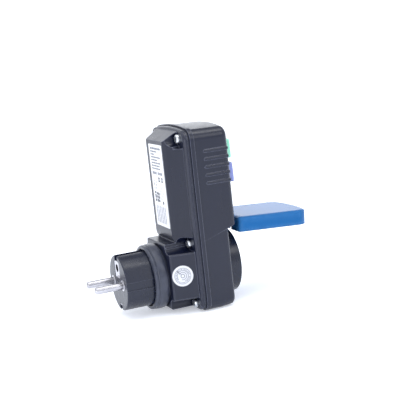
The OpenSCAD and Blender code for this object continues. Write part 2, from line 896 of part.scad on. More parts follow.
module hinge_pin() {
    color("#b9babd")
    from_seam()
    bar_x(-hinge_y, hinge_z, hinge_pin_r, -lug_out, lug_out);
}

// Button with a rounded face, a flange that the cover holds back, and a stem to its switch
module push_button(z, h, lean, reach) {
    // The body is rooted in the middle of its flange, so the two are one solid at any depth.
    root_y = flange_y - flange_t / 2;
    intersection() {
        translate([0, 0, z - h / 2])
            linear_extrude(h)
                polygon(concat(
                    [[-button_half, -root_y]],
                    arc(2.2 - button_half, -reach + 2.2, 2.2, 180, 270, 5),
                    arc(button_half - 2.2, -reach + 2.2, 2.2, 270, 360, 5),
                    [[button_half, -root_y]]));
        rotate([90, 0, 90])
            linear_extrude(body_w, center = true)
                polygon(concat(
                    [[-root_y, z + h / 2], [-reach + 1.6, z + h / 2]],
                    [for (i = [1:5]) bend_point([-reach + 1.6, z + h / 2],
                        [-reach + lean, z + h / 2], [-reach + lean * 0.6, z], i / 5)],
                    [for (i = [1:5]) bend_point([-reach + lean * 0.6, z],
                        [-reach - 0.1, z - h / 2], [-reach + 1.4, z - h / 2], i / 5)],
                    [[-root_y, z - h / 2]]));
        slab(-reach - 1, -root_y)
            polygon(arched(button_half, z - h / 2, z + h / 2, button_round, button_round, button_bend));
    }
    block([-button_half - flange_w, -flange_y, z - h / 2 - 0.8],
        [button_half + flange_w, -flange_y + flange_t, z + h / 2 + 0.8]);
    bar_y(0, z, stem_r, -flange_y + flange_t - 0.1, -board_y - switch_h - button_travel - 0.4);
}

module reset_button() {
    color("#58c49c")
    from_seam()
    push_button(reset_z, reset_h, 0.6, button_y);
}

module test_button() {
    color("#5a63c8")
    from_seam()
    push_button(test_z, test_h, 0.8, button_y + 0.5);
}

// Return spring between a button's flange and the circuit board, as a swept coil
module return_spring(z) {
    sides = 6;
    per_turn = 16;
    rings = spring_turns * per_turn;
    y0 = -flange_y + flange_t + spring_wire_r + 0.05;
    y1 = -board_y - spring_wire_r - 0.05;
    skinned([for (i = [0:rings])
        let (a = 360 * i / per_turn, y = y0 + (y1 - y0) * i / rings)
        for (k = [0:sides - 1])
            let (b = 360 * k / sides, q = spring_r + spring_wire_r * cos(b))
            [q * cos(a), y + spring_wire_r * sin(b), z + q * sin(a)]], sides);
}

module reset_spring() {
    color("#a9abae")
    from_seam()
    return_spring(reset_z);
}

module test_spring() {
    color("#a9abae")
    from_seam()
    return_spring(test_z);
}

// Push switch on the circuit board, under a button's stem
module push_switch(z) {
    block([-3, -board_y - switch_h + 1.2, z - 3], [3, -board_y, z + 3]);
    bar_y(0, z, 1.5, -board_y - switch_h, -board_y - 1);
}

module reset_switch() {
    color("#3a3a3c")
    from_seam()
    push_switch(reset_z);
}

module test_switch() {
    color("#3a3a3c")
    from_seam()
    push_switch(test_z);
}

module circuit_board() {
    color("#2f6b45")
    from_seam()
    block([-board_half, -board_y, board_low_z], [board_half, board_back_y, board_high_z]);
}

module current_transformer() {
    ring_w = core_r - core_hole_r;
    color("#c9b26a")
    from_seam()
    turned(core_z)
        translate([core_hole_r, board_back_y])
            polygon([[0, 0.6], [0.6, 0], [ring_w - 0.6, 0], [ring_w, 0.6], [ring_w, core_d - 0.6],
                [ring_w - 0.6, core_d], [0.6, core_d], [0, core_d - 0.6]]);
}

module trip_relay() {
    low = relay_high_z - relay_h;
    lip = 1.5;
    end = board_back_y + relay_d;
    color("#d9d5c8")
    from_seam() {
        block([-relay_w / 2, board_back_y, low], [relay_w / 2, end, relay_high_z]);
        block([lip - relay_w / 2, end - 0.1, low + lip], [relay_w / 2 - lip, end + 0.6, relay_high_z - lip]);
    }
}

module capacitor() {
    color("#3b4a8c")
    from_seam()
    translate([-cap_x, board_back_y + cap_r, core_z])
        cylinder(h = cap_len, r = cap_r);
}

module varistor() {
    color("#3f74b8")
    from_seam()
    translate([cap_x - disc_body_t / 2, board_back_y, core_z + disc_body_r])
        rotate([90, 0, 90])
            linear_extrude(disc_body_t) {
                translate([disc_body_r + 0.4, 0])
                    circle(r = disc_body_r);
                translate([0, -1.5])
                    square([2, 3]);
            }
}

// Route from a pin's inner end up and through the current transformer to the board: side is -1 or 1
function pin_route(side) =
    let (x = side * pin_x, through_x = side * (wire_r + 0.4))
    [[x, pin_end_y - 0.02, plug_z], [x, wire_y, plug_z], [x, wire_y, core_z - core_r],
        [through_x, wire_y - 2.6, core_z], [through_x, board_back_y + 0.02, core_z]];

module line_wire() {
    color("#7a4a2a")
    from_seam()
    wire(pin_route(-1), wire_r);
}

module neutral_wire() {
    color("#2f6fb0")
    from_seam()
    wire(pin_route(1), wire_r);
}

module earth_wire() {
    start = block_wall_y - 5.02;
    end = insert_back_y + 1.22;
    color("#6a9a3a")
    from_seam()
    wire([[0, start, plug_z + 6], [0, start - 3, plug_z + 6], [0, end + 3, socket_z + 8],
        [0, end, socket_z + 8]], wire_r);
}

// Pan-head screw with a cross recess, its head towards +y
module case_screw() {
    difference() {
        union() {
            bar_y(0, 0, shank_r, seat_y - shank_len, seat_y + 0.1);
            turned(0)
                polygon(concat(
                    [[0, seat_y + 0.02], [head_r, seat_y + 0.02], [head_r, seat_y + head_h - 1.2]],
                    arc(head_r - 1.2, seat_y + head_h - 1.2, 1.2, 0, 90, 4), [[0, seat_y + head_h]]));
        }
        for (turn = [45, 135])
            rotate([0, turn, 0])
                block([-1.9, seat_y + head_h - 1.2, -0.4], [1.9, seat_y + head_h + 1, 0.4]);
    }
}

module cover_screws() {
    color("#d3d4d6")
    from_seam()
    for (side = [-1, 1])
        for (z = screw_z)
            translate([side * screw_x, 0, z])
                case_screw();
}

module rating_label() {
    color("#f2f3f4")
    from_seam()
    slab(panel_y - 0.1, panel_y + 0.08)
        translate([label_x, 0]) polygon(arched(label_half, label_low_z, label_high_z, 0.8, 0.8, 4000));
}

// Angle by which the block's side wall leans in towards the back
function side_lean() = atan2(rear_half - block_half, block_y - 0.7 - 2.5);

module round_label() {
    at_y = block_y - disc_r - 0.2;
    at_x = rear_half - (at_y - 2.5) * tan(side_lean());
    color("#f4f5f6")
    from_seam()
    translate([-at_x, at_y, disc_z])
        rotate([0, 0, -side_lean()])
            rotate([0, -90, 0])
                cylinder(h = 0.15, r = disc_r);
}

front_cover();
rear_cover();
seam_gasket();
plug_body();
plug_collar();
pin_left();
pin_right();
plug_earth();
socket_insert();
contact_left();
contact_right();
socket_earth();
lid();
lid_seal();
hinge_pin();
reset_button();
test_button();
reset_spring();
test_spring();
reset_switch();
test_switch();
circuit_board();
current_transformer();
trip_relay();
capacitor();
varistor();
line_wire();
neutral_wire();
earth_wire();
cover_screws();
rating_label();
round_label();
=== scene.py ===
# %% [markdown]
# # A plug-in residual current adapter
# This notebook dresses a finished CAD model of a plug-in safety adapter. The shapes of the housing,
# plug, socket, lid and buttons come from the CAD frame. What is made here is what the frame can't
# hold: the finish of every surface, the printing on the two labels, and the picture with its
# light, floor and camera. All lengths are in metres, and 1 mm is written as 1 * MM.

import json
import math

import bpy
import numpy as np
from mathutils import Matrix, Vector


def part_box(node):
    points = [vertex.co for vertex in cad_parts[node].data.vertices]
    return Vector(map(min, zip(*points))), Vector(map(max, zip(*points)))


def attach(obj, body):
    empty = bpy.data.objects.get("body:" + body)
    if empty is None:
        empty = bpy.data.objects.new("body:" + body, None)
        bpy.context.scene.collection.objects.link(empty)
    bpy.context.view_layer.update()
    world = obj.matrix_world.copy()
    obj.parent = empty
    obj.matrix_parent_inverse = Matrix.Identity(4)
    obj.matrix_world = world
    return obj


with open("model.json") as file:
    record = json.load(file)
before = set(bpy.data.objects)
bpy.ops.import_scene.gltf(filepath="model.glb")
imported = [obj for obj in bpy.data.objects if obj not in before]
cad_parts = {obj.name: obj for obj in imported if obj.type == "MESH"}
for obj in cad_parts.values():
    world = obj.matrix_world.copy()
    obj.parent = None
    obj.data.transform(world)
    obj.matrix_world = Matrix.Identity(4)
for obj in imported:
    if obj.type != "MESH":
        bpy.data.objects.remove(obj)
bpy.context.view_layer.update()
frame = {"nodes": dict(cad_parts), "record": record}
MM = 0.001

# %% [markdown]
# ## Colours and shader nodes
# A designer reads colours as sRGB hex values from a chart, but a shader counts light, so it wants
# linear values. One function does the change. Two more fill a node's sockets and add a node, which
# keeps each finish below short enough to read as a recipe.


# %% Colour and node helpers
def linear(code):
    """sRGB hex code to linear RGBA: c / 12.92 in the dark toe, else ((c + 0.055) / 1.055) ^ 2.4."""
    c = np.array([int(code[i : i + 2], 16) for i in (1, 3, 5)]) / 255
    c = np.where(c <= 0.04045, c / 12.92, ((c + 0.055) / 1.055) ** 2.4)
    return (*map(float, c), 1.0)


def fill(tree, node, **sockets):
    """Fills sockets of a node, each given by its name with _ for a space, or by its number, as _0.

    A value is a number, a colour, a socket to link, or a node, whose first output is linked."""
    for key, value in sockets.items():
        number = key[1:]
        socket = node.inputs[int(number)] if number.isdigit() else node.inputs[key.replace("_", " ")]
        source = value.outputs[0] if isinstance(value, bpy.types.Node) else value
        if isinstance(source, bpy.types.NodeSocket):
            tree.links.new(source, socket)
        else:
            socket.default_value = source


def add(tree, kind, settings=None, **sockets):
    """Adds a shader node. settings are its own properties, and sockets are filled as above."""
    made = tree.nodes.new("ShaderNode" + kind)
    for key, value in (settings or {}).items():
        setattr(made, key, value)
    fill(tree, made, **sockets)
    return made


def start(name):
    """A new material with its output and principled shader, and Object coordinates in metres."""
    material = bpy.data.materials.new(name)
    material.use_nodes = True
    tree = material.node_tree
    tree.nodes.clear()
    shader = add(tree, "BsdfPrincipled")
    add(tree, "OutputMaterial", Surface=shader)
    where = add(tree, "TexCoord").outputs["Object"]
    return material, tree, shader, where


print("the housing's base colour in linear light:", [round(v, 4) for v in linear("#0f152a")[:3]])

# %% [markdown]
# ## Words for the recipes
# Every finish is made in the same few steps: noise of a real width, a value stretched to a new
# range, two colours mixed, rounded edges, and a relief of a real depth. Each step gets a short name
# here. A texture's scale counts features per metre, so it is one over the width of a feature.

# %% Steps that every recipe uses
EDGE_SAMPLES = 6  # Rays that the bevel node sends out to find an edge, for each sample of a pixel.


def per(size):
    """Scale of a texture whose features are size metres wide."""
    return 1.0 / size


def noise(tree, where, size, detail, roughness=0.5):
    """Noise with features size metres wide: detail adds finer layers, and roughness is their share."""
    return add(tree, "TexNoise", Vector=where, Scale=per(size), Detail=detail, Roughness=roughness)


def stretch(tree, value, from_low, from_high, to_low, to_high):
    """Maps from_low to to_low, from_high to to_high, and all between on a straight line."""
    return add(tree, "MapRange", Value=value, From_Min=from_low, From_Max=from_high,
               To_Min=to_low, To_Max=to_high)


def blend(tree, share, first, second):
    """Mixes two colours: all first where share is 0, and all second where it is 1."""
    return add(tree, "MixRGB", Fac=share, Color1=first, Color2=second)


def rounded(tree, radius):
    """The surface's direction as if every edge had this radius in metres."""
    return add(tree, "Bevel", {"samples": EDGE_SAMPLES}, Radius=radius)


def relief(tree, height, depth, **surface):
    """Bumps depth metres deep where height is 1, on the surface's own direction or on Normal=..."""
    return add(tree, "Bump", Strength=1.0, Distance=depth, Height=height, **surface)


def multiply(tree, first, second):
    """The product of two values."""
    return add(tree, "Math", {"operation": "MULTIPLY"}, _0=first, _1=second)


print("scale of a texture with features 5 mm wide:", per(5 * MM))

# %% [markdown]
# ## Moulded plastic
# The housing, plug, socket, lid and buttons are injection-moulded. Steel moulds leave a surface
# that is even in colour, with a spark-eroded grain on the housing and a polished one on the lid
# and buttons. Mould edges are never sharp: every corner has a radius, from a fraction of a
# millimetre on small parts to some millimetres on the lid, that catches a line of light. The
# shader's bevel node finds those corners, so that highlight needs no extra geometry. The corners
# are also painted paler: partly the wear of handling, and partly a painted highlight that makes
# the line of light stronger, and on the lid broader.

# %% Moulded plastic
# Where the two directions part, the corners get the paler colour of wear and painted highlight.
FLAT = 0.995  # The rounded and the true direction agree this well on a flat, as their dot product.
CORNER = 0.8  # They agree no better than this at a corner, where the wear is full.


def moulded(name, colour, pale_edge_wear_and_highlight, roughness, grain, depth, edge, patches, shine=0.5, mottle=0.2):
    """Plastic from a mould: cloudy colour, fine grain as relief, and rounded edges painted paler.

    The paler edge colour is partly wear and partly painted highlight. Its share is the corner mask
    times the handling marks, and the mask grows from 0 to 1 as the dot product of the rounded and
    the true direction falls from FLAT to CORNER. In metres, grain and depth are the width and depth
    of the grain, edge is the radius of the edges, and patches is the width of the clouds. The
    roughness wanders by mottle, a share of itself, to each side."""
    material, tree, shader, where = start(name)
    cloud = noise(tree, where, patches, 3.0, 0.55)
    fine = noise(tree, where, grain, 2.0, 0.6)
    # Hands rub up and down, so the marks are four times as long along z.
    upright = add(tree, "Mapping", Vector=where, Scale=(1.0, 1.0, 0.25))
    marks = noise(tree, upright, 5 * MM, 5.0, 0.7)
    soft = rounded(tree, edge)
    bump = relief(tree, fine, depth, Normal=soft)
    true = add(tree, "NewGeometry").outputs["Normal"]
    facing = add(tree, "VectorMath", {"operation": "DOT_PRODUCT"}, _0=soft, _1=true).outputs["Value"]
    # Paler colour on the corners: partly handling wear, partly a painted highlight along each edge.
    edge_wear_and_highlight_share = multiply(tree, stretch(tree, facing, FLAT, CORNER, 0.0, 1.0), marks)
    body = add(tree, "MixRGB", {"blend_type": "MULTIPLY"}, Fac=0.22, Color1=linear(colour), Color2=cloud)
    paint = blend(tree, edge_wear_and_highlight_share, body, linear(pale_edge_wear_and_highlight))
    gloss = stretch(tree, marks, 0.25, 0.75, (1 - mottle) * roughness, (1 + mottle) * roughness)
    fill(tree, shader, Base_Color=paint, Roughness=gloss, Normal=bump)
    fill(tree, shader, IOR=1.53, Specular_IOR_Level=shine)
    return material


finish = {
    "case": moulded("abs_spark_eroded_dark_grey", "#0f152a", "#878ca3", roughness=0.3, grain=0.9 * MM,
                    depth=0.008 * MM, edge=0.8 * MM, patches=14 * MM, shine=0.4),
    "plug": moulded("polyamide_moulded_dark_grey", "#151b2e", "#7c8198", roughness=0.28,
                    grain=0.8 * MM, depth=0.005 * MM, edge=0.3 * MM, patches=11 * MM, shine=0.4),
    # The lid's 5 mm edge radius spreads its paler band of wear and painted highlight widely.
    "lid_blue": moulded("abs_polished_blue", "#1d609d", "#5592cc", roughness=0.24, grain=1.2 * MM,
                        depth=0.0002 * MM, edge=5 * MM, patches=18 * MM, shine=0.08, mottle=0.02),
    "reset_green": moulded("abs_polished_green", "#93e0c4", "#c6f2e2", roughness=0.25,
                           grain=1.0 * MM, depth=0.002 * MM, edge=0.3 * MM, patches=9 * MM),
    "test_violet": moulded("abs_polished_blue_violet", "#808bc8", "#b1b9e4", roughness=0.25,
                           grain=1.0 * MM, depth=0.002 * MM, edge=0.3 * MM, patches=9 * MM),
}
print("moulded finishes outside:", len(finish))

# %% [markdown]
# The parts inside the housing use the same recipe. A switch has a small black case and a relay a
# cream one. A capacitor wears a shrunk blue sleeve, and a varistor is dipped in blue epoxy, which
# dries in slow waves, so its relief is the deepest.

# %% Moulded, shrunk and dipped plastic inside
finish["switch_black"] = moulded("polyamide_moulded_black", "#1b1b1d", "#4a4a4e", roughness=0.45,
                                 grain=0.5 * MM, depth=0.006 * MM, edge=0.15 * MM, patches=3 * MM)
finish["relay_cream"] = moulded("polyester_moulded_cream", "#cfc8b4", "#e6e1d2", roughness=0.42,
                                grain=0.7 * MM, depth=0.006 * MM, edge=0.25 * MM, patches=7 * MM)
finish["sleeve_blue"] = moulded("vinyl_shrunk_blue", "#2d3a86", "#5f6cb5", roughness=0.3,
                                grain=1.5 * MM, depth=0.01 * MM, edge=0.3 * MM, patches=5 * MM)
finish["lacquer_blue"] = moulded("epoxy_dipped_blue", "#2c62a8", "#6d9ad2", roughness=0.22,
                                 grain=1.4 * MM, depth=0.05 * MM, edge=0.4 * MM, patches=4 * MM)
print("finishes so far:", len(finish))

# %% [markdown]
# ## Rubber
# The seal between the covers and the soft collar round the plug are very dark elastomer, and the
# ring in the lid is grey silicone. It scatters light more than the housing does, and its skin is a
# little uneven and dusty, which shows as dull patches a few millimetres wide. A low sheen stands
# for that dust.


# %% Rubber
def rubber(name, colour, dust, roughness, grain):
    """Elastomer skin: dull noise patches between two greys, a soft grain, and a dusty sheen."""
    material, tree, shader, where = start(name)
    patches = noise(tree, where, 4 * MM, 6.0, 0.65)
    skin = noise(tree, where, grain, 3.0, 0.7)
    paint = blend(tree, stretch(tree, patches, 0.42, 0.75, 0.0, 0.55), linear(colour), linear(dust))
    gloss = stretch(tree, patches, 0.0, 1.0, roughness - 0.1, roughness + 0.14)
    bump = relief(tree, skin, 0.02 * MM, Normal=rounded(tree, 0.3 * MM))
    fill(tree, shader, Base_Color=paint, Roughness=gloss, Normal=bump)
    fill(tree, shader, Sheen_Weight=0.12, Sheen_Roughness=0.45, IOR=1.52)
    return material


finish["soft_black"] = rubber("tpe_moulded_soft_black", "#292e3e", "#454a5d", 0.32, grain=0.8 * MM)
finish["seal_rubber"] = rubber("epdm_extruded_black", "#161b2c", "#262b3d", 0.34, grain=0.6 * MM)
finish["seal_grey"] = rubber("silicone_moulded_grey", "#55575e", "#75777d", 0.55, grain=0.7 * MM)
print("finishes so far:", len(finish))

# %% [markdown]
# ## Plated and stamped metal
# The plug pins and the earth plate are nickel-plated brass: bright metal, a little grey, with long
# fine streaks along the pin, where outlets have rubbed it. Screws are zinc-plated and a little
# cloudy, and springs and contacts are drawn or stamped. One recipe serves them all: a metal whose
# streaks are noise stretched along the direction in which it was drawn, turned or rubbed.


# %% Metals
def metal(name, colour, tarnish, roughness, streak, depth):
    """Metal with noise streaks: streak gives the feature size in metres along x, y and z."""
    material, tree, shader, where = start(name)
    drawn = add(tree, "Mapping", Vector=where, Scale=tuple(per(size) for size in streak))
    lines = add(tree, "TexNoise", Vector=drawn, Scale=1.0, Detail=4.0, Roughness=0.65)
    cloud = noise(tree, where, 3 * MM, 4.0, 0.6)
    paint = blend(tree, stretch(tree, cloud, 0.45, 0.72, 0.0, 0.5), linear(colour), linear(tarnish))
    gloss = stretch(tree, lines, 0.25, 0.75, roughness - 0.08, roughness + 0.14)
    bump = relief(tree, lines, depth, Normal=rounded(tree, 0.15 * MM))
    fill(tree, shader, Base_Color=paint, Roughness=gloss, Normal=bump, Metallic=1.0)
    return material


along_y = (0.35 * MM, 9 * MM, 0.35 * MM)
along_z = (0.3 * MM, 0.3 * MM, 6 * MM)
evenly = (0.6 * MM, 0.6 * MM, 0.6 * MM)
finish["nickel"] = metal("brass_nickel_plated", "#bdbcc2", "#96959c", 0.22, along_y, 0.006 * MM)
finish["screw_steel"] = metal("steel_zinc_plated", "#d3d6da", "#a7abb4", 0.26, evenly, 0.01 * MM)
finish["spring_steel"] = metal("steel_drawn_bright", "#b9bbbf", "#8d8f94", 0.3, along_y, 0.004 * MM)
finish["brass"] = metal("brass_stamped", "#c9a25a", "#9a7436", 0.3, along_z, 0.005 * MM)
print("finishes so far:", len(finish))

# %% [markdown]
# ## Circuit board
# The circuit board is glass-epoxy with copper tracks under green lacquer. Real tracks run in
# straight lines with square corners. A cell texture can measure distance as the longest of the
# steps along x, y and z, and then lines of equal distance are nested squares, much like tracks.


# %% Lacquer over tracks
def board_lacquer():
    """Green lacquer, paler over copper: a track is where the distance to a cell's middle, folded
    back and forth between 0 and track_step, is near its top."""
    track_step = 0.11
    material, tree, shader, where = start("glass_epoxy_lacquered_green")
    cells = add(tree, "TexVoronoi", {"feature": "F1", "distance": "CHEBYCHEV"}, Vector=where,
                Scale=per(4.5 * MM), Randomness=0.85)
    track = add(tree, "Math", {"operation": "PINGPONG"}, _0=cells.outputs["Distance"], _1=track_step)
    copper = add(tree, "MapRange", {"interpolation_type": "SMOOTHSTEP"}, Value=track,
                 From_Min=0.05, From_Max=0.07, To_Min=0.0, To_Max=1.0)
    paint = blend(tree, copper, linear("#1d5a33"), linear("#3f8a52"))
    bump = relief(tree, copper, 0.035 * MM)
    gloss = stretch(tree, copper, 0.0, 1.0, 0.34, 0.22)
    fill(tree, shader, Base_Color=paint, Roughness=gloss, Normal=bump)
    return material


finish["board_green"] = board_lacquer()
print("board finish:", finish["board_green"].name)

# %% [markdown]
# ## Winding and insulation
# The current transformer is a ring of magnet iron with enamelled wire wound through it, so its
# stripes run round the ring like spokes, and the angle round the ring's axis draws them. The wires
# have extruded insulation, and the earth wire has two colours.


# %% Winding and insulation
def winding(centre):
    """Copper wire wound through a ring: stripes from the angle round the ring's axis, along y, as relief
    and as painted shade between the turns.
    """
    stripes = 88
    material, tree, shader, where = start("copper_wound_enamelled")
    shifted = add(tree, "Mapping", Vector=where, Location=tuple(-v for v in centre))
    xyz = add(tree, "SeparateXYZ", Vector=shifted)
    angle = add(tree, "Math", {"operation": "ARCTAN2"}, _0=xyz.outputs["Z"], _1=xyz.outputs["X"])
    turns = multiply(tree, angle, stripes / (2 * math.pi))
    turn_relief_and_shade = add(tree, "Math", {"operation": "PINGPONG"}, _0=turns, _1=0.5)
    grime = noise(tree, where, 1.5 * MM, 3.0)
    # Each turn is painted darker toward the next turn and paler in its middle: painted shade in the
    # creases and painted highlight on the round wire.
    paint = blend(tree, multiply(tree, turn_relief_and_shade, grime), linear("#6e3a17"), linear("#f0a860"))
    bump = relief(tree, turn_relief_and_shade, 0.12 * MM)
    gloss = stretch(tree, grime, 0.0, 1.0, 0.22, 0.42)
    fill(tree, shader, Base_Color=paint, Roughness=gloss, Normal=bump, Metallic=0.55)
    return material


def insulation(name, colour, second, share):
    """Extruded insulation: a band of the second colour lies where a slanted wave is high."""
    material, tree, shader, where = start(name)
    slant = add(tree, "Mapping", Vector=where, Rotation=(0.9, 0.5, 0.0))
    wave = add(tree, "TexWave", {"wave_type": "BANDS"}, Vector=slant, Scale=per(9 * MM), Distortion=0.4)
    band = add(tree, "Math", {"operation": "GREATER_THAN"}, _0=wave.outputs["Fac"], _1=1.0 - share)
    grain = noise(tree, where, 0.7 * MM, 3.0)
    paint = blend(tree, band, linear(colour), linear(second))
    bump = relief(tree, grain, 0.01 * MM)
    gloss = stretch(tree, grain, 0.0, 1.0, 0.34, 0.54)
    fill(tree, shader, Base_Color=paint, Roughness=gloss, Normal=bump)
    return material


low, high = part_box("current_transformer")
finish["core_tape"] = winding([(a + b) / 2 for a, b in zip(low, high)])
finish["wire_brown"] = insulation("pvc_extruded_brown", "#6b3a1e", "#7a4626", 0.3)
finish["wire_blue"] = insulation("pvc_extruded_blue", "#2d6db4", "#3a7cc4", 0.3)
finish["wire_green"] = insulation("pvc_extruded_green_yellow", "#3f8f3a", "#e2cf3a", 0.4)
print("finishes so far:", len(finish))

# %% [markdown]
# ## Printed film
# Both labels are film with a satin face. The round one gets a darker copy of the same white film,
# as painted shade, because the lamps light its side more brightly than the rating label. Film isn't
# flat on its glue, so it has shallow waves some millimetres wide that bend the highlight, and its
# white is faintly uneven. The printing on it is a thin layer of ink, made further on as real flat
# pieces, because a print is sharp where a pattern made of noise would be soft.


# %% Film and ink
def film(name, colour, shade, waves):
    """Satin film: two near whites mixed by wide noise, and slow waves in the surface."""
    material, tree, shader, where = start(name)
    cloud = noise(tree, where, 16 * MM, 4.0, 0.6)
    slow = noise(tree, where, 7 * MM, 1.0)
    paint = blend(tree, cloud, linear(colour), linear(shade))
    bump = relief(tree, slow, waves)
    gloss = stretch(tree, cloud, 0.0, 1.0, 0.3, 0.45)
    fill(tree, shader, Base_Color=paint, Roughness=gloss, Normal=bump)
    return material


def ink(name, colour, thin):
    """Printing ink: darker where it lies thick, paler where fine noise lets the film through."""
    material, tree, shader, where = start(name)
    spots = noise(tree, where, 0.45 * MM, 3.0, 0.7)
    paint = blend(tree, stretch(tree, spots, 0.45, 0.75, 0.0, 0.7), linear(colour), linear(thin))
    gloss = stretch(tree, spots, 0.0, 1.0, 0.45, 0.62)
    fill(tree, shader, Base_Color=paint, Roughness=gloss)
    return material


finish["label_white"] = film("polyester_film_white_satin", "#efeff0", "#e3e4e8", waves=0.03 * MM)
# The round label's film: the label white made darker, as painted shade for the side that the lamps light
# more.
finish["seal_white"] = film("film_white_with_painted_shade", "#d6d7dc", "#c9cad1", waves=0.03 * MM)
dark_ink = ink("ink_printed_slate", "#343946", "#5d6270")
mid_ink = ink("ink_printed_grey", "#757985", "#94979f")
pale_ink = ink("ink_printed_pale_grey", "#9ea0aa", "#b0b2ba")
print("finishes for the solids:", len(finish))

# %% [markdown]
# ## Dress the CAD pieces
# The CAD record names a finish for every piece, so one loop dresses them all. The round label is
# the one piece that gets another film than the record's: a darker copy of the white, which paints
# shade on the side that the lamps light more.

# %% Dress the CAD pieces
slots = {part["node"]: part["material_slot"] for part in frame["record"]["subparts"]}
slots["round_label"] = "seal_white"
for name, piece in frame["nodes"].items():
    piece.data.materials.clear()
    piece.data.materials.append(finish[slots[name]])
print("nodes dressed:", len(frame["nodes"]))

# %% [markdown]
# ## Printing as flat pieces
# A rating label has rows of small type, a few framed marks and more text turned by a quarter.
# None of the real wording is repeated: each word is a plain bar, so the label reads as printed
# without saying anything. Every bar is a flat rectangle, and all of them are computed together
# as one array: four corners for each rectangle, from its two opposite corners.

# %% A mesh from rectangles, and rows of them
MOST_WORDS = 40  # More than any row can hold, so that each row draws the same count of lengths.
SHORTEST_WORD = 0.6  # A word shorter than this share of its height is left out.


def sheet_of_rectangles(name, boxes, origin, across, up):
    """One flat mesh of many rectangles. boxes is n rows of (u0, v0, u1, v1) in metres, and a corner
    is origin + u * across + v * up."""
    b = np.asarray(boxes, dtype=float)
    u = b[:, [0, 2, 2, 0]].reshape(-1, 1)
    v = b[:, [1, 1, 3, 3]].reshape(-1, 1)
    points = np.asarray(origin) + u * np.asarray(across) + v * np.asarray(up)
    mesh = bpy.data.meshes.new(name)
    mesh.from_pydata(points.tolist(), [], np.arange(len(points)).reshape(-1, 4).tolist())
    return mesh


def place(name, mesh, material, body):
    """Puts a finished mesh in the scene, on its body, with its material."""
    piece = bpy.data.objects.new(name, mesh)
    bpy.context.collection.objects.link(piece)
    mesh.materials.append(material)
    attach(piece, body)


def row_of_words(rng, left, right, height, level, sizes, space):
    """Bars of chance lengths from left to right, all height tall, with their foot at level."""
    widths = rng.uniform(*sizes, MOST_WORDS)
    starts = left + np.concatenate([[0], np.cumsum(widths + space)[:-1]])
    ends = np.minimum(starts + widths, right)
    feet = np.full(MOST_WORDS, level)
    keep = ends - starts > SHORTEST_WORD * height
    return np.stack([starts, feet, ends, feet + height], 1)[keep]


rng = np.random.default_rng(7)
low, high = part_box("rating_label")
label_width = high[0] - low[0]
label_height = high[2] - low[2]
print("rating label in mm:", round(label_width / MM, 1), "by", round(label_height / MM, 1))

# %% [markdown]
# ## The layout of the rating label
# A printer's layout is a list of measures from the label's edges, and so is this one. All numbers
# in it are millimetres, apart from the places along a row, which are shares of the printed width.
# Places along a row or of a column count from the print's left edge, and heights count down from
# the label's top.

# %% Rows, framed marks and columns
PRINT_MARGIN = 2.6 * MM  # From the label's left edge to the print.
PRINT_MARGINS = 5.0 * MM  # Both side margins together.
left = PRINT_MARGIN - label_width / 2
width = label_width - PRINT_MARGINS


def type_row(begin, end, foot, height, shortest, longest, space):
    """Words in a row, from begin to end as shares of the printed width, with their foot at foot."""
    return row_of_words(rng, left + begin * width, left + end * width, height * MM,
                        label_height - foot * MM, (shortest * MM, longest * MM), space * MM)


def type_column(u, foot, upper, thick, shortest, longest, space):
    """A row of words turned a quarter, from foot to upper: (u0, v0, u1, v1) becomes
    (-v1, u0, -v0, u1)."""
    level = -left - (u + thick) * MM
    rows = row_of_words(rng, label_height - foot * MM, label_height - upper * MM, thick * MM, level,
                        (shortest * MM, longest * MM), space * MM)
    return np.stack([-rows[:, 3], rows[:, 0], -rows[:, 1], rows[:, 2]], 1)


def framed_mark(begin, foot, side, line):
    """Four thin bars round a square whose lower left corner is at begin and foot."""
    u, v = left + begin * width, label_height - foot * MM
    side, line = side * MM, line * MM
    return np.array([(u, v, u + side, v + line), (u, v + side - line, u + side, v + side),
                     (u, v, u + line, v + side), (u + side - line, v, u + side, v + side)])


# Eight lines of small type, the first one taller, and then two short groups of tall type.
line_ends = [1.0, 0.62, 0.34, 0.95, 0.6, 0.88, 0.78, 0.8]
text = [type_row(0.0, end, 3.4 + 1.88 * i, 1.0 if i else 1.35, shortest=1.8, longest=4.4, space=0.35)
        for i, end in enumerate(line_ends)]
text += [type_row(begin, end, foot=20.0, height=1.8, shortest=1.0, longest=2.0, space=0.35)
         for begin, end in ((0.0, 0.4), (0.5, 1.0))]
# Two framed marks on the right, and turned type in two sizes on the left.
marks = [framed_mark(begin, foot=24.6, side=3.0, line=0.8) for begin in (0.5, 0.78)]
marks += [type_column(u, foot=38.4, upper=31.2, thick=2.3, shortest=1.4, longest=2.6, space=0.5)
          for u in (0.2, 3.6, 6.4)]
marks += [type_column(u, foot=30.2, upper=24.2, thick=0.9, shortest=1.2, longest=2.6, space=0.6)
          for u in (0.6, 4.2)]
# Three fine columns on the right, and six wider ones across the label's foot.
fine = [type_column(u, foot=36.6, upper=26.5, thick=0.8, shortest=1.0, longest=2.6, space=0.4)
        for u in (10.4, 13.2, 15.9)]
fine += [type_column(0.4 + 3.0 * k, foot=52.4, upper=40.6 + 0.4 * (k % 2), thick=1.6,
                     shortest=2.4, longest=6.5, space=0.2) for k in range(6)]
print("rows, marks and columns:", len(text), len(marks), len(fine))

# %% [markdown]
# ## Lay the ink on the rating label
# Each colour of ink is one piece, which lies a few hundredths of a millimetre above the film, as
# printing ink does. The label faces backwards, so a reader behind the device has -x on the right.

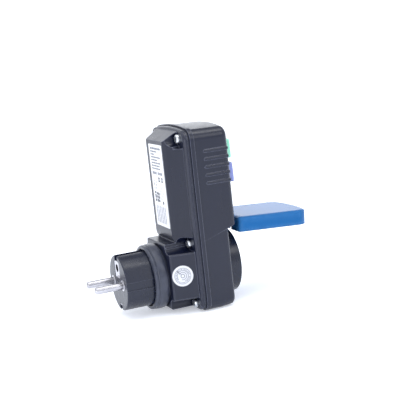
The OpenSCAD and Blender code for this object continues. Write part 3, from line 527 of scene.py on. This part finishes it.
# %% Ink on the rating label
RATING_INK_LIFT = 0.03 * MM
face = (float(low[0] + high[0]) / 2, float(high[1]) + RATING_INK_LIFT, float(low[2]))
reader = ((-1, 0, 0), (0, 0, 1))
bars = {"label_text": (np.concatenate(text), mid_ink), "label_marks": (np.concatenate(marks), dark_ink),
        "label_fine_text": (np.concatenate(fine), pale_ink)}
for name, (rows, colour) in bars.items():
    place(name, sheet_of_rectangles(name, rows, face, *reader), colour, "housing")
    print(name, len(rows), "bars")

# %% [markdown]
# ## Printing on the round label
# The round label on the side of the plug block carries rings and ticks, like a test seal. Rings
# and ticks are both parts of a polar grid: a band between two radii over a range of angles. The
# band is laid on the label's own slanted plane, which is found from the label's box.


# %% Bands of a polar grid
def polar_bands(name, bands, centre, across, up):
    """One flat mesh of ring sectors. bands is rows of (r0, r1, angle0, angle1, steps), and a point
    is centre + r * (cos a * across + sin a * up)."""
    points, faces = [], []
    for r0, r1, a0, a1, steps in bands:
        a = np.radians(np.linspace(a0, a1, steps + 1))
        ring = np.cos(a)[:, None] * np.asarray(across) + np.sin(a)[:, None] * np.asarray(up)
        first = sum(map(len, points))
        points.append(np.asarray(centre) + np.concatenate([ring * r0, ring * r1]))
        i = first + np.arange(steps)
        faces.append(np.stack([i, i + steps + 1, i + steps + 2, i + 1], 1))
    mesh = bpy.data.meshes.new(name)
    mesh.from_pydata(np.concatenate(points).tolist(), [], np.concatenate(faces).tolist())
    return mesh


FILM_THICK = 0.15 * MM
SEAL_INK_LIFT = 0.02 * MM
low, high = map(np.array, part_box("round_label"))
radius = (high[2] - low[2]) / 2
# The disc stands upright and leans out of the yz plane. Along x its box is as wide as
# 2 * radius * sin(lean) and about its thickness, which gives the lean.
lean = math.asin(min(1.0, float(high[0] - low[0] - FILM_THICK) / (2 * radius)))
normal = np.array([-math.cos(lean), math.sin(lean), 0.0])
right = np.array([-math.sin(lean), -math.cos(lean), 0.0])
middle = (low + high) / 2 + normal * (FILM_THICK / 2 + SEAL_INK_LIFT)
print("the round label leans by", round(math.degrees(lean), 1), "degrees")

# %% [markdown]
# The seal's drawing is a list of bands: two whole rings, two open ones, and a crown of 25 ticks of
# uneven length in between. One dark tick lies over them. The rating label's one round dot is such
# a band too, with a hole too small to see.

# %% Ink on the round label, and the dot
# Each band: two radii as shares of the label's, two angles in degrees, and its steps.
rings = [(0.74, 0.79, 0, 360, 64), (0.5, 0.56, -70, 215, 48), (0.33, 0.39, -110, 150, 40),
         (0.14, 0.21, 0, 360, 28)]
ticks = [(0.6, 0.69, a, a + arc, 2) for a, arc in zip(range(8, 352, 14), [7, 9, 6, 10, 8] * 5)]
bands = [(r0 * radius, r1 * radius, a0, a1, steps) for r0, r1, a0, a1, steps in rings + ticks]
seal = polar_bands("seal_rings", bands, middle, right, (0, 0, 1))
place("seal_rings", seal, mid_ink, "housing")

long_tick = [(0.1 * radius, 0.72 * radius, 131, 137, 2)]
above = middle + normal * SEAL_INK_LIFT
tick = polar_bands("seal_tick", long_tick, above, right, (0, 0, 1))
place("seal_tick", tick, dark_ink, "housing")

# The dot stands at the label's lower right, above the wide columns.
dot_right, dot_up = left + 14.6 * MM, label_height - 38.3 * MM
dot_at = np.array(face) + dot_right * np.array(reader[0]) + dot_up * np.array(reader[1])
dot = polar_bands("label_dot", [(0.01 * MM, 1.2 * MM, 0, 360, 20)], dot_at, *reader)
place("label_dot", dot, dark_ink, "housing")
print("seal bands:", len(bands) + len(long_tick))

# %% [markdown]
# ## Floor
# The photograph has a plain white ground with no shadow. Studios get that with a table of opal
# acrylic that is lit softly from below, which fills the shadow of whatever stands on it. A large
# disc stands for the table: its far edge is beyond what any view sees, its matt white has a
# little noise, and a weak glow of its own stands for the lamps under it.

# %% Floor
FLOOR_RADIUS = 6
FLOOR_CORNERS = 96
floor_paint, tree, shader, where = start("acrylic_opal_matt_white")
fibre = noise(tree, where, 40 * MM, 4.0)
tone = blend(tree, fibre, linear("#f6f9ff"), linear("#f1f4fb"))
fill(tree, shader, Base_Color=tone, Roughness=0.9, Specular_IOR_Level=0.1)
fill(tree, shader, Emission_Color=tone, Emission_Strength=0.42)
around = np.linspace(0, 2 * math.pi, FLOOR_CORNERS, endpoint=False)
rim = np.stack([np.cos(around), np.sin(around), np.zeros(FLOOR_CORNERS)], 1) * FLOOR_RADIUS
floor_mesh = bpy.data.meshes.new("floor")
floor_mesh.from_pydata(rim.tolist(), [], [list(range(FLOOR_CORNERS))])
floor_mesh.materials.append(floor_paint)
floor = bpy.data.objects.new("floor", floor_mesh)
bpy.context.collection.objects.link(floor)
print("floor radius in m:", FLOOR_RADIUS)

# %% [markdown]
# ## Lamps
# A product studio hangs a large softbox above the table. The wide box gives the bright tops.
# Three smaller panels, brighter for their size, draw the thin light lines along the rounded
# edges: one stands low on the plug's side, for the upright edges, and two hang before the flat
# side at different heights, for the ribs and for the rounding of the top.

# %% Lamps
AIM = (0.0, 0.0, 0.06)  # Half way up the device.


def stand(thing, x_axis, y_axis, z_axis, spot):
    """Stands a lamp or a camera at spot, with its own three axes along the ones given."""
    turn = np.column_stack([x_axis, y_axis, z_axis, spot])
    thing.matrix_world = Matrix(turn.tolist() + [[0, 0, 0, 1]])


def panel(name, size, power, spot):
    """Square area light of side size metres and power watts, which looks from spot at the device.

    A lamp shines along its -z. Its x axis is at right angles to that and to a nearly upright line,
    which is tilted so that a lamp straight above has an x axis too."""
    data = bpy.data.lights.new(name, "AREA")
    data.shape = "SQUARE"
    data.size = size
    data.energy = power
    lamp = bpy.data.objects.new(name, data)
    bpy.context.collection.objects.link(lamp)
    z = np.array(spot) - np.array(AIM)
    z /= np.linalg.norm(z)
    x = np.cross((0.0, 0.3, 1.0), z)
    x /= np.linalg.norm(x)
    stand(lamp, x, np.cross(z, x), z, spot)


panel("softbox_above", 0.9, 3.5, (-0.1, 0.1, 0.95))
panel("panel_low_left", 0.4, 1.8, (-0.62, 0.78, 0.2))
panel("panel_mid_right", 0.3, 0.9, (-0.75, -0.38, 0.62))
panel("panel_high_right", 0.3, 1.2, (-0.2, -0.4, 0.95))

# %% [markdown]
# ## The white room
# The world stands for the studio's white room, which fills the shadows: white all round, with a
# brighter wall behind the device, which the level tops mirror, and a soft dark cloth above that
# wall. Bright metal needs the cloth: a white pin in an evenly white room has no outline. The room
# is a touch bluer than white, as daylight from a window is.

# %% World
world = bpy.data.worlds.new("white_room")
bpy.context.scene.world = world
world.use_nodes = True
tree = world.node_tree
ray = add(tree, "TexCoord").outputs["Generated"]


def patch(towards, begin, full, gain):
    """A soft round patch of the room: gain times a smooth step, from begin to full, of the cosine of
    the angle to a direction."""
    near = add(tree, "VectorMath", {"operation": "DOT_PRODUCT"}, _0=ray, _1=towards)
    return add(tree, "MapRange", {"interpolation_type": "SMOOTHSTEP"}, Value=near.outputs["Value"],
               From_Min=begin, From_Max=full, To_Min=0.0, To_Max=gain)


cloth = patch((0.6, -0.3, 0.74), 0.92, 0.985, gain=-0.65)
wall = patch((0.92, -0.35, 0.1), 0.8, 0.97, gain=1.0)
extra = add(tree, "Math", {"operation": "ADD"}, _0=cloth, _1=wall)
level = add(tree, "Math", {"operation": "ADD"}, _0=extra, _1=1.0)
fill(tree, tree.nodes["Background"], Color=(1.0, 1.03, 1.08, 1.0), Strength=level)
bpy.context.scene.view_settings.view_transform = "Standard"
print("nodes in the room:", len(tree.nodes))

# %% [markdown]
# ## Camera
# The camera's place, direction and lens were worked out from the device's own edges in the
# photograph. Its three axes are the picture's right, the picture's up, and backwards, which is
# the cross product of the two. The device leans a little in the picture because the camera was
# turned, not because the device was tilted.

# %% Camera
view = bpy.data.cameras.new("camera")
view.sensor_width = 36.0
view.lens = 88.03
view.clip_start = 0.01
view.clip_end = 50.0
camera = bpy.data.objects.new("camera", view)
bpy.context.collection.objects.link(camera)
to_right = np.array([-0.38105, -0.91836, -0.10686])
to_up = np.array([0.11532, -0.16188, 0.98005])
backwards = np.cross(to_right, to_up)
tripod = np.array([-598.85, 226.95, 177.47]) * MM
stand(camera, to_right, to_up, backwards, tripod)
bpy.context.scene.camera = camera
print("camera distance in mm:", round(float(np.linalg.norm(tripod)) / MM))
